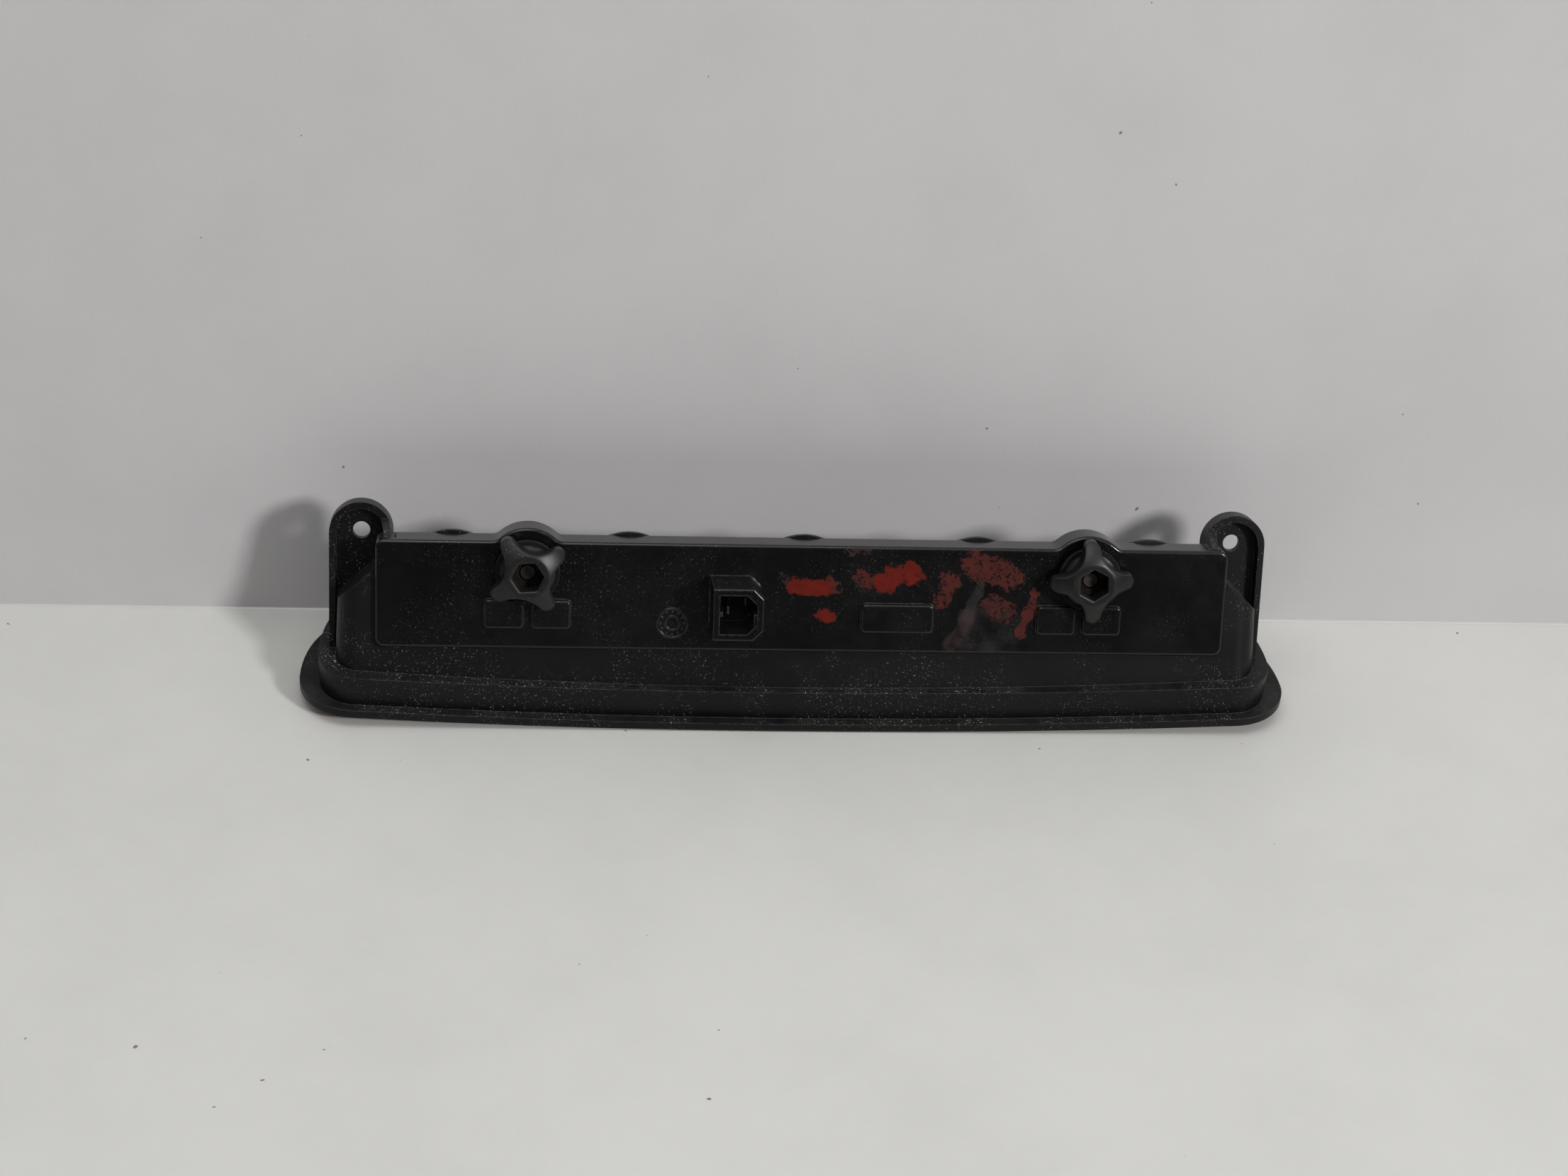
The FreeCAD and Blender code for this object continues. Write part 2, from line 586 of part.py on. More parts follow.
def cover_outline(body, half, bottom, inset, corner):
    """Cover from the front: a rectangle with round corners and a half-round bump at each stud."""
    roof = size("roof_level") - inset
    bump = size("bump_radius") - inset
    blend = size("bump_blend") + inset
    stud_level = size("stud_level")
    reach = math.sqrt((bump + blend) ** 2 - (roof + blend - stud_level) ** 2)
    sketch = new_sketch(body, "XZ_Plane")

    def line(start, end):
        sketch.addGeometry(Part.LineSegment(Vector(*start, 0), Vector(*end, 0)))

    def arc(centre, radius, first, last):
        circle = Part.Circle(Vector(*centre, 0), Vector(0, 0, 1), radius)
        sketch.addGeometry(Part.ArcOfCircle(circle, math.radians(first), math.radians(last)))

    touch = math.degrees(math.atan2(roof + blend - stud_level, reach))
    top_start = -half + corner
    for side in SIDES:
        stud = size(f"stud_{side}")
        line((top_start, roof), (stud - reach, roof))
        arc((stud - reach, roof + blend), blend, -90, -touch)
        arc((stud, stud_level), bump, touch, 180 - touch)
        arc((stud + reach, roof + blend), blend, 180 + touch, 270)
        top_start = stud + reach
    line((top_start, roof), (half - corner, roof))
    arc((half - corner, roof - corner), corner, 0, 90)
    line((half, roof - corner), (half, bottom + corner))
    arc((half - corner, bottom + corner), corner, -90, 0)
    line((half - corner, bottom), (-half + corner, bottom))
    arc((-half + corner, bottom + corner), corner, 180, 270)
    line((-half, bottom + corner), (-half, roof - corner))
    arc((-half + corner, roof - corner), corner, 90, 180)
    return sketch


def cover_plate():
    """Raised plate with soft front edges, hollowed behind its rim."""
    body = doc.addObject("PartDesign::Body", "cover_plate")
    outline = cover_outline(body, size("block_half"), size("cover_bottom"), 0, size("cover_corner"))
    pad(body, outline, "Dims.cover_proud")
    front = -size("cover_proud") + 0.01
    round_edges(body, "Dims.cover_round", lambda edge: edge.BoundBox.YMax < front)
    behind = face_prism("cover_behind", rectangle("Dims.block_half - Dims.cover_rim",
                                                  "Dims.cover_bottom + Dims.cover_rim",
                                                  "Dims.roof_level - Dims.cover_rim - 0.9"),
                        "-Dims.cover_proud + Dims.cover_plate", "Dims.cover_proud")
    return cut("cover_plate_hollow", body, behind)


def cover_lip():
    """Lip that runs back over the block's roof and over the bumps."""
    half = size("cover_lip_half")
    bottom = size("cover_bottom")
    corner = size("cover_lip") / 4
    outer = doc.addObject("PartDesign::Body", "lip_outer")
    pad(outer, cover_outline(outer, half, bottom, 0, corner), "Dims.roof_back", reverse=True)
    inner = doc.addObject("PartDesign::Body", "lip_inner")
    pad(inner, cover_outline(inner, half + 5, bottom - 5, size("cover_lip"), corner), "Dims.roof_back + 1",
        reverse=True)
    return cut("cover_lip", outer, inner)


def raised_pad(name, centre, width):
    """Low rectangular boss on the cover with round corners and soft edges."""
    low = "Dims.pad_level - Dims.pad_height / 2"
    high = "Dims.pad_level + Dims.pad_height / 2"
    corners = [
        (f"{centre} - ({width}) / 2", low),
        (f"{centre} + ({width}) / 2", low),
        (f"{centre} + ({width}) / 2", high),
        (f"{centre} - ({width}) / 2", high),
    ]
    front = "-Dims.cover_proud - Dims.pad_rise"
    body = face_prism(name, corners, front, "Dims.pad_rise + 1")
    round_edges(body, "Dims.pad_corner", lambda edge: edge.BoundBox.YLength > 1)
    round_edges(body, "Dims.pad_round", lambda edge: edge.BoundBox.YMax < 0.01)
    return body


def pads():
    """A pair of pads under each knob and one long pad."""
    pieces = [raised_pad("long_pad", "Dims.long_pad_centre", "Dims.long_pad_width")]
    for side, sign in SIDES.items():
        for where, half in (("outer", sign), ("inner", -sign)):
            centre = f"{sign} * Dims.pad_pair + {half} * (Dims.pad_width + Dims.pad_gap) / 2"
            pieces.append(raised_pad(f"pad_{side}_{where}", centre, "Dims.pad_width"))
    return pieces


def socket_corners(inset):
    """Socket outline with both right corners chamfered, shrunk all round by inset."""
    left = f"Dims.socket_centre - Dims.socket_width / 2 + {inset}"
    right = f"Dims.socket_centre + Dims.socket_width / 2 - {inset}"
    low = f"Dims.socket_level - Dims.socket_height / 2 + {inset}"
    high = f"Dims.socket_level + Dims.socket_height / 2 - {inset}"
    chamfer = "Dims.socket_chamfer"
    return [
        (left, low),
        (f"{right} - {chamfer}", low),
        (right, f"{low} + {chamfer}"),
        (right, f"{high} - {chamfer}"),
        (f"{right} - {chamfer}", high),
        (left, high),
    ]


def socket():
    """Connector socket: a tube with a key on each side."""
    front = "-Dims.cover_proud - Dims.socket_rise"
    outside = face_prism("socket_outside", socket_corners("0"), front, "Dims.socket_rise + 1")
    round_edges(outside, "Dims.socket_round", lambda edge: edge.BoundBox.YMax < 0.01)
    room = face_prism("socket_room", socket_corners("Dims.socket_wall"), f"{front} - 1",
                      "Dims.socket_rise - Dims.socket_floor + 1")
    inner_left = "Dims.socket_centre - Dims.socket_width / 2 + Dims.socket_wall"
    inner_right = "Dims.socket_centre + Dims.socket_width / 2 - Dims.socket_wall"
    key_front = f"{front} + Dims.key_setback"
    key_length = "Dims.socket_rise - Dims.socket_floor"
    rooted = "Dims.key_width + Dims.socket_wall / 4"
    left_key = box("left_key", f"{inner_left} - Dims.socket_wall / 4", key_front,
                   "Dims.socket_level - Dims.left_key_height / 2", rooted, key_length, "Dims.left_key_height")
    right_key = box("right_key", f"{inner_right} - Dims.key_width", key_front,
                    "Dims.socket_level - Dims.right_key_height", rooted, key_length, "Dims.right_key_height")
    return fuse("socket", cut("socket_tube", outside, room), left_key, right_key)


def date_ring():
    """Moulded ring with dots, as found on most mouldings."""
    def disc(name, radius, x="Dims.mark_centre", level="Dims.mark_level"):
        return face_cylinder(name, radius, x, level, "-Dims.cover_proud - Dims.mark_rise",
                             "Dims.mark_rise + 0.5")

    rings = [
        cut("mark_outer", disc("mark_outer_disc", "Dims.mark_radius"),
            disc("mark_outer_hole", "Dims.mark_radius - Dims.mark_line")),
        cut("mark_inner", disc("mark_inner_disc", "Dims.mark_radius / 2"),
            disc("mark_inner_hole", "Dims.mark_radius / 2 - Dims.mark_line")),
    ]
    dots = 12
    for i in range(dots):
        turn = f"{i * 360 / dots} deg"
        rings.append(disc(f"mark_dot_{i}", "Dims.mark_dot",
                          f"Dims.mark_centre + 0.75 * Dims.mark_radius * cos({turn})",
                          f"Dims.mark_level + 0.75 * Dims.mark_radius * sin({turn})"))
    return rings


def back_cover():
    """Cover with its roof lip, bumps, pads, connector socket and the bores for studs and blades."""
    solid = fuse("cover_solid", cover_plate(), cover_lip(), *pads(), socket(), *date_ring())
    bores = stud_bosses("stud_bore", "Dims.stud_radius + Dims.bore_gap", "-Dims.cover_proud - 1",
                        "Dims.cover_proud + 2")
    for name, level in (("supply", "Dims.supply_level"), ("ground", "Dims.ground_level")):
        bores.append(blade_box(f"{name}_slit", name, level, "Dims.bore_gap",
                               "-Dims.cover_proud - Dims.socket_floor - 1", "Dims.socket_rise / 2"))
    finish("back_cover", lean_back(cut("cover_bored", solid, fuse("cover_bores", *bores))))


def cover_seal():
    """Flat foam ring between cover and block, around the opening."""
    outer = face_prism("seal_outer", rectangle("Dims.block_half - Dims.cover_rim - 2 * Dims.fit_gap",
                                               "Dims.cover_bottom + Dims.cover_rim + 2 * Dims.fit_gap",
                                               "Dims.roof_level - Dims.cover_rim - 1"),
                       "-Dims.cover_proud + Dims.cover_plate", "Dims.cover_proud - Dims.cover_plate")
    opening = rectangle("Dims.opening_half", "Dims.opening_bottom", "Dims.opening_top")
    inner = face_prism("seal_inner", opening, "-Dims.cover_proud", "2 * Dims.cover_proud")
    finish("cover_seal", lean_back(cut("cover_seal_ring", outer, inner)))


# --- wiring ------------------------------------------------------------------------------------


def blade_box(name, which, level, gap, front, length):
    """Box along a connector blade; a gap makes it the blade's slit."""
    return box(name, f"Dims.{which}_blade - Dims.blade_thick / 2 - {gap}", front,
               f"{level} - Dims.blade_width / 2 - {gap}",
               f"Dims.blade_thick + 2 * {gap}", length, f"Dims.blade_width + 2 * {gap}")


def wiring():
    """Two stamped strips along the cover, with a finger to each bulb holder, and their two blades."""
    front = "-Dims.cover_proud - Dims.blade_reach"
    for which, sign in (("supply", -1), ("ground", 1)):
        level = f"Dims.{which}_level"
        depth = f"Dims.{which}_depth"
        blade = blade_box(f"{which}_blade", which, level, "0", front, f"{depth} - ({front})")
        foot = box(f"{which}_foot", f"Dims.{which}_blade - 1.5 * Dims.blade_thick",
                   f"{depth} - Dims.blade_foot", f"{level} - Dims.blade_width / 2",
                   "3 * Dims.blade_thick", "Dims.blade_foot", "Dims.blade_width")
        finish(f"terminal_{which}", lean_back(fuse(f"{which}_terminal", blade, foot)))
        pieces = [box(f"{which}_strip", "-Dims.strip_reach", depth, f"{level} - Dims.strip_width / 2",
                      "2 * Dims.strip_reach", "Dims.strip_thick", "Dims.strip_width")]
        holder_top = "Dims.bulb_level + Dims.holder_flat"
        for i, chamber in enumerate(CHAMBERS):
            middle = f"{chamber} * Dims.chamber_pitch + {sign} * Dims.finger_offset"
            pieces.append(box(f"{which}_finger_{i}", f"{middle} - Dims.finger_width / 2", depth, holder_top,
                              "Dims.finger_width", "Dims.strip_thick", f"{level} - ({holder_top})"))
        finish(f"contact_strip_{which}", lean_back(fuse(f"{which}_contacts", *pieces)))


def bulb_glass(name, x, gap):
    """Outline of a wedge-base bulb, or its hollow when gap is the glass thickness."""
    start = "Dims.holder_length - Dims.cover_proud + Dims.cover_plate"
    end = f"Dims.bulb_length - {gap}"
    barrel = face_cylinder(f"{name}_barrel", f"Dims.bulb_radius - {gap}", x, "Dims.bulb_level",
                           f"{start} + {gap}", f"{end} - Dims.bulb_radius - ({start})")
    tip = bind(doc.addObject("Part::Sphere", f"{name}_tip"), Radius=f"Dims.bulb_radius - {gap}")
    move(tip, x, f"{end} + {gap} - Dims.bulb_radius", "Dims.bulb_level")
    return fuse(f"{name}_shape", barrel, tip)


def bulbs():
    """Five wedge-base bulbs with their filaments and holders, pointing into the bowls."""
    level = "Dims.bulb_level"
    wedge_half = "Dims.bulb_radius * 0.9"
    back_face = "-Dims.cover_proud + Dims.cover_plate"
    for i, chamber in enumerate(CHAMBERS, start=1):
        x = f"{chamber} * Dims.chamber_pitch"
        hollow = cut(f"bulb_hollow_{i}", bulb_glass(f"glass_{i}", x, "0"),
                     bulb_glass(f"inside_{i}", x, "Dims.glass_thick"))
        wedge = box(f"wedge_{i}", f"{x} - {wedge_half}", "Dims.wedge_foot", f"{level} - Dims.wedge_thick / 2",
                    f"2 * {wedge_half}", "Dims.holder_length", "Dims.wedge_thick")
        finish(f"bulb_{i}", lean_back(fuse(f"bulb_{i}_shape", hollow, wedge)))

        leads = [face_cylinder(f"lead_{i}_{n}", "Dims.lead_radius", f"{x} + {side} * Dims.lead_spacing / 2",
                               level, "Dims.holder_length + Dims.wedge_foot", "Dims.lead_length")
                 for n, side in enumerate((-1, 1))]
        coil = bind(doc.addObject("Part::Cylinder", f"coil_{i}"), Radius="Dims.coil_radius",
                    Height="Dims.coil_length")
        coil.Placement = Placement(Vector(0, 0, 0), Rotation(Vector(0, 1, 0), 90))
        move(coil, f"{x} - Dims.coil_length / 2",
             "Dims.holder_length + Dims.wedge_foot + Dims.lead_length", level)
        finish(f"filament_{i}", lean_back(fuse(f"filament_{i}_shape", *leads, coil)))

        barrel = face_cylinder(f"holder_barrel_{i}", "Dims.holder_radius", x, level, back_face,
                               "Dims.holder_length")
        slot = box(f"holder_slot_{i}", f"{x} - {wedge_half} - Dims.wedge_gap",
                   "Dims.wedge_foot - 2 * Dims.wedge_gap", f"{level} - Dims.wedge_thick / 2 - Dims.wedge_gap",
                   f"2 * ({wedge_half} + Dims.wedge_gap)", "Dims.holder_length",
                   "Dims.wedge_thick + 2 * Dims.wedge_gap")
        above = box(f"holder_top_{i}", f"{x} - Dims.holder_radius", "-1", f"{level} + Dims.holder_flat",
                    "2 * Dims.holder_radius", "Dims.holder_length + 2", "Dims.holder_radius")
        finish(f"bulb_holder_{i}", lean_back(cut(f"bulb_holder_{i}_shape", barrel,
                                                 fuse(f"holder_room_{i}", slot, above))))


# --- lens side ---------------------------------------------------------------------------------


def lens_ribs():
    """Row of low round ribs along the lens's inner face, following its bend."""
    body = doc.addObject("PartDesign::Body", "lens_ribs")
    sketch = new_sketch(body, "XZ_Plane")
    radius = size("bend_radius")
    count = int(size("straight_half") / size("flute_pitch"))
    root = size("lens_thick") - 0.2
    crest = size("lens_thick") + size("flute_rise")

    def on_bend(step, level):
        angle = step * size("flute_pitch") / radius
        return Vector((radius - level) * math.sin(angle), radius - (radius - level) * math.cos(angle), 0)

    for step in range(-count, count):
        sketch.addGeometry(Part.ArcOfCircle(on_bend(step, root), on_bend(step + 0.5, crest),
                                            on_bend(step + 1, root)))
    low = size("lens_thick") / 2
    sketch.addGeometry(Part.LineSegment(on_bend(count, root), on_bend(count, low)))
    sketch.addGeometry(Part.ArcOfCircle(on_bend(count, low), on_bend(0, low), on_bend(-count, low)))
    sketch.addGeometry(Part.LineSegment(on_bend(-count, low), on_bend(-count, root)))
    pad(body, sketch, "Dims.skirt_front + Dims.skirt_back - 4 * Dims.wall", midplane=True)
    return move(body, 0, "(Dims.skirt_back - Dims.skirt_front) / 2", 0)


def lens():
    """Red lens: a bent plate flush with the flange, an inner wall and ribs."""
    gap = size("lens_gap")
    plate = bent_slab("lens_plate", flange_plan("lens_outline", size("lens_edge") + gap), "0",
                      "Dims.lens_thick")
    wall_inset = size("wall") + gap
    outer = bent_slab("lens_wall_outer", skirt_plan("lens_wall_outline", wall_inset), "Dims.lens_thick / 2",
                      "Dims.lens_wall_top")
    wall = cut("lens_wall", outer, skirt_plan("lens_wall_hollow", wall_inset + size("lens_wall")))
    finish("lens", fuse("lens_shape", plate, wall, lens_ribs()))


def lens_seal():
    """Thin seal in the step between the lens's edge and the flange."""
    ring = bent_slab("lens_seal_slab", flange_plan("lens_seal_outline", size("lens_edge") + size("lens_gap")),
                     "Dims.lens_thick", "Dims.lens_thick + Dims.seal_thick")
    finish("lens_seal", cut("lens_seal_ring", ring, skirt_plan("lens_seal_hollow", size("wall"))))


def bowl(name, chamber, inset):
    """Egg-shaped outside of one reflector bowl, or its mirror face when inset."""
    solid = bind(doc.addObject("Part::Ellipsoid", name),
                 Radius1=f"Dims.bowl_rise - {inset}",
                 Radius2=f"Dims.bowl_half_length - {inset}",
                 Radius3=f"Dims.bowl_depth - {inset}")
    return move(solid, f"{chamber} * Dims.chamber_pitch", "Dims.bowl_line",
                "Dims.reflector_level + Dims.bowl_foot")


def reflector():
    """Metallised insert: a bent plate with five bowls, each open to a bulb from the side."""
    plate = bent_slab("reflector_plate", skirt_plan("reflector_outline", size("wall") + 2 * size("lens_gap")),
                      "Dims.reflector_level", "Dims.reflector_level + Dims.reflector_thick")
    outer = fuse("bowl_row", *[bowl(f"bowl_{i}", chamber, "0") for i, chamber in enumerate(CHAMBERS)])
    inner = fuse("mirror_row", *[bowl(f"mirror_{i}", chamber, "Dims.reflector_thick")
                                 for i, chamber in enumerate(CHAMBERS)])
    bowls = common("bowls_above_plate", outer, bend_roller("above_reflector", "Dims.reflector_level"))
    port_length = "Dims.bulb_length * 0.75"
    ports = [face_cylinder(f"bulb_port_{i}", "Dims.holder_radius + Dims.port_gap",
                           f"{chamber} * Dims.chamber_pitch", "Dims.bulb_level", "-2", port_length)
             for i, chamber in enumerate(CHAMBERS)]
    ports = lean_back(fuse("bulb_ports", *ports))
    finish("reflector", cut("reflector_shape", fuse("reflector_solid", plate, bowls),
                            fuse("reflector_open", inner, ports)))


# --- studs and knobs ---------------------------------------------------------------------------


def place_on_stud(thing, side):
    """Move a piece drawn around the face frame's origin onto a stud axis, leaned with the face."""
    lean_back(thing)
    return move(thing, f"Dims.stud_{side}", "-Dims.face_foot + Dims.stud_level * sin(Dims.lean * 1 deg)",
                "Dims.ledge_height + Dims.stud_level * cos(Dims.lean * 1 deg)")


def turned(body, points):
    """Revolve a profile of (radius, depth) points around the stud axis."""
    sketch = new_sketch(body, "XY_Plane")
    count = len(points)
    for i in range(count):
        sketch.addGeometry(Part.LineSegment(Vector(*points[i], 0), Vector(*points[(i + 1) % count], 0)))
    feature = body.newObject("PartDesign::Revolution", body.Name + "_turned")
    feature.Profile = sketch
    feature.ReferenceAxis = (sketch, ["V_Axis"])
    feature.Angle = 360
    return body


def stud(side):
    """M6 stud: round head behind the cover, threaded shank with a chamfered end."""
    back = -size("cover_proud") + size("cover_plate")
    end = -size("cover_proud") - size("stud_reach")
    radius = size("stud_radius")
    pitch = size("thread_pitch")
    head = size("stud_head_radius")
    points = [(0, back + size("stud_head_height")), (head, back + size("stud_head_height")),
              (head, back), (radius, back)]
    turns = int((size("stud_reach") - size("stud_chamfer")) / pitch)
    for turn in range(turns):
        crest = -size("cover_proud") - turn * pitch
        points += [(radius, crest), (radius - size("thread_depth"), crest - pitch / 2)]
    points += [(radius, -size("cover_proud") - turns * pitch), (radius, end + size("stud_chamfer")),
               (radius - size("stud_chamfer"), end), (0, end)]
    body = turned(doc.addObject("PartDesign::Body", f"stud_body_{side}"), points)
    finish(f"stud_{side}", place_on_stud(body, side))


def hexagon(across, turn):
    """Corners of a hexagon given its size across flats and the direction of one corner."""
    return [(f"({across}) / 2 / cos(30 deg) * cos({turn} * 1 deg + {60 * k} deg)",
             f"({across}) / 2 / cos(30 deg) * sin({turn} * 1 deg + {60 * k} deg)") for k in range(6)]


def star_sketch(body, turn):
    """Four round lobes joined by hollow sides, every arc tangent to the next."""
    tip = size("knob_tip_radius")
    tip_centre = size("knob_tip_reach") - tip
    waist = size("knob_waist")
    away = (tip_centre ** 2 - (waist - tip) ** 2) / (2 * (tip_centre * math.cos(math.pi / 4) - (waist - tip)))
    hollow = away - waist
    lean = math.atan2(away * math.sin(math.pi / 4), away * math.cos(math.pi / 4) - tip_centre)
    sketch = new_sketch(body, "XZ_Plane")
    for quarter in range(4):
        start = math.radians(turn) + quarter * math.pi / 2
        centre = Vector(tip_centre * math.cos(start), tip_centre * math.sin(start), 0)
        lobe = Part.Circle(centre, Vector(0, 0, 1), tip)
        sketch.addGeometry(Part.ArcOfCircle(lobe, start - lean, start + lean))
        middle = start + math.pi / 4
        spread = lean - math.pi / 4
        centre = Vector(away * math.cos(middle), away * math.sin(middle), 0)
        sketch.addGeometry(Part.ArcOfCircle(Part.Circle(centre, Vector(0, 0, 1), hollow),
                                            middle + math.pi - spread, middle + math.pi + spread))
    return sketch


def knob(side):
    """Star knob: four lobes that fall away from a flat middle, a flared foot and a hexagonal pocket."""
    front = size("knob_front")
    base = size("washer_gap") + size("washer_thick") + size("knob_gap")
    flat = size("knob_face_radius")
    reach = size("knob_tip_reach")
    tip = base + size("knob_tip_height")

    star = doc.addObject("PartDesign::Body", f"star_{side}")
    pad(star, star_sketch(star, size(f"knob_turn_{side}")), front - base)
    move(star, 0, f"-Dims.cover_proud - {base}", 0)
    dome_centre = (front ** 2 + flat ** 2 - tip ** 2 - reach ** 2) / (2 * (front - tip))
    dome = bind(doc.addObject("Part::Sphere", f"dome_{side}"), Radius=math.hypot(front - dome_centre, flat))
    move(dome, 0, f"-Dims.cover_proud - ({dome_centre})", 0)

    def disc(name, radius, low, high):
        return face_cylinder(f"{name}_{side}", radius, "0", "0", f"-Dims.cover_proud - ({high})",
                             f"{high} - ({low})")

    flare = size("knob_flare")
    rim = size("knob_foot_radius")
    flare_top = base + flare + size("knob_rim")
    foot = disc("flare_disc", rim, base, flare_top)
    scoop = bind(doc.addObject("Part::Torus", f"flare_scoop_{side}"), Radius1=rim, Radius2=flare)
    scoop.Placement = Placement(Vector(0, 0, 0), Rotation(Vector(1, 0, 0), -90))
    move(scoop, 0, f"-Dims.cover_proud - {flare_top}", 0)
    bottom = "Dims.neck_gap"
    neck = disc("knob_neck", "Dims.neck_radius", bottom, base + flare)
    solid = fuse(f"knob_solid_{side}", common(f"lobes_{side}", star, dome),
                 cut(f"flare_{side}", foot, scoop), neck)
    floor = f"{bottom} + Dims.knob_floor"
    flats = hexagon("Dims.nut_across", f"(Dims.knob_turn_{side} + Dims.nut_turn)")
    pocket = face_prism(f"pocket_{side}", flats, f"-Dims.cover_proud - {front + 1}",
                        f"{front + 1} - ({floor})")
    bore = disc("knob_bore", "Dims.stud_radius + Dims.running_gap", f"{bottom} - 1", f"{floor} + 1")
    shape = cut(f"knob_{side}_shape", solid, fuse(f"knob_room_{side}", pocket, bore))
    finish(f"knob_{side}", place_on_stud(shape, side))


def knob_nut(side):
    """Hexagon nut held in the knob's pocket."""
    floor = "Dims.neck_gap + Dims.knob_floor"
    flats = hexagon("Dims.nut_across - Dims.nut_gap", f"(Dims.knob_turn_{side} + Dims.nut_turn)")
    blank = face_prism(f"nut_blank_{side}", flats,
                       f"-Dims.cover_proud - ({floor}) - Dims.nut_thick", "Dims.nut_thick")
    bore = face_cylinder(f"nut_bore_{side}", "Dims.stud_radius + Dims.running_gap", "0", "0",
                         "-Dims.cover_proud - Dims.knob_front", "Dims.knob_front")
    finish(f"knob_nut_{side}", place_on_stud(cut(f"nut_{side}", blank, bore), side))


def washer(side):
    """Captive washer that the knob turns in."""
    bore = size("neck_radius") + size("running_gap")
    back = -size("cover_proud") - size("washer_gap")
    front = back - size("washer_thick")
    rim = size("washer_radius")
    body = turned(doc.addObject("PartDesign::Body", f"washer_body_{side}"),
                  [(bore, back), (rim, back), (rim, front), (bore, front)])
    finish(f"washer_{side}", place_on_stud(body, side))


# --- assembly ----------------------------------------------------------------------------------


def check_and_write():
    """Stop on any object that did not build; write each sub-part to its own file."""
    doc.recompute()
    for item in doc.Objects:
        if "Invalid" in item.State or "Error" in item.State:
            raise RuntimeError(f"{item.Name} did not build")
    os.makedirs("parts", exist_ok=True)
    for thing in subparts:
        if thing.Shape.isNull() or not thing.Shape.isValid():
            raise RuntimeError(f"{thing.Label} has no valid shape")
        thing.Shape.exportStep(f"parts/{thing.Label}.step")
        print(f"{thing.Label:24s} {len(thing.Shape.Solids)} solid  {thing.Shape.Volume:10.1f} mm3")


fill_sheet()
housing()
back_cover()
cover_seal()
lens()
lens_seal()
reflector()
bulbs()
wiring()
for side in SIDES:
    stud(side)
    washer(side)
    knob(side)
    knob_nut(side)
check_and_write()
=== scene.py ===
"""Looks of the third brake light: materials, paint smears, floor, light and camera."""

import math
from dataclasses import dataclass

import bpy
from mathutils import Matrix, Vector


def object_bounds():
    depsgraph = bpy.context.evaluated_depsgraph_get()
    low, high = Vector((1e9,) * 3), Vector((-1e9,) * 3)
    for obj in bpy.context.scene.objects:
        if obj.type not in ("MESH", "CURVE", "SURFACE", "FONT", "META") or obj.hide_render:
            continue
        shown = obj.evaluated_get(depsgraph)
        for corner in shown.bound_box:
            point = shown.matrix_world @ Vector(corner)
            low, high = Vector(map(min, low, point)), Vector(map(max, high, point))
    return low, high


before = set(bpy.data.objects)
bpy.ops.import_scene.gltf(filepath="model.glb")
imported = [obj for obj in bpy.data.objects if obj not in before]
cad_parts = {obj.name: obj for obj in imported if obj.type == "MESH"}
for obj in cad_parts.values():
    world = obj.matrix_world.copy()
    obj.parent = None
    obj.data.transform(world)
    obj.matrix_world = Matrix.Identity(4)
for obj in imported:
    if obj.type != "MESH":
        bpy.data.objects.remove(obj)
cad_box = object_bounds()

MM = 0.001

# The mounting face: its lean, its own directions, and how far up them its foot lies.
LEAN = math.radians(20)
FACE_OUT = Vector((0, -math.cos(LEAN), math.sin(LEAN)))
FACE_UP = Vector((0, math.sin(LEAN), math.cos(LEAN)))
FACE_FOOT = Vector((0, -17.2, 14.4)) * MM
FACE_FOOT_UP = FACE_FOOT.dot(FACE_UP)

# Colours of dirt and paint.
DUST = (0.42, 0.41, 0.39, 1)
RUST = (0.16, 0.06, 0.025, 1)
RED = (0.135, 0.0080, 0.0035, 1)
FADED_RED = (0.080, 0.014, 0.010, 1)
DULL_PINK = (0.042, 0.022, 0.020, 1)
GREY_SMEAR = (0.022, 0.018, 0.017, 1)

# Tints that turn a grey level into a plastic's colour.
NEUTRAL = (1.0, 1.0, 1.0)
BLUISH = (1.0, 1.0, 1.1)


# --- node helpers ------------------------------------------------------------------------------


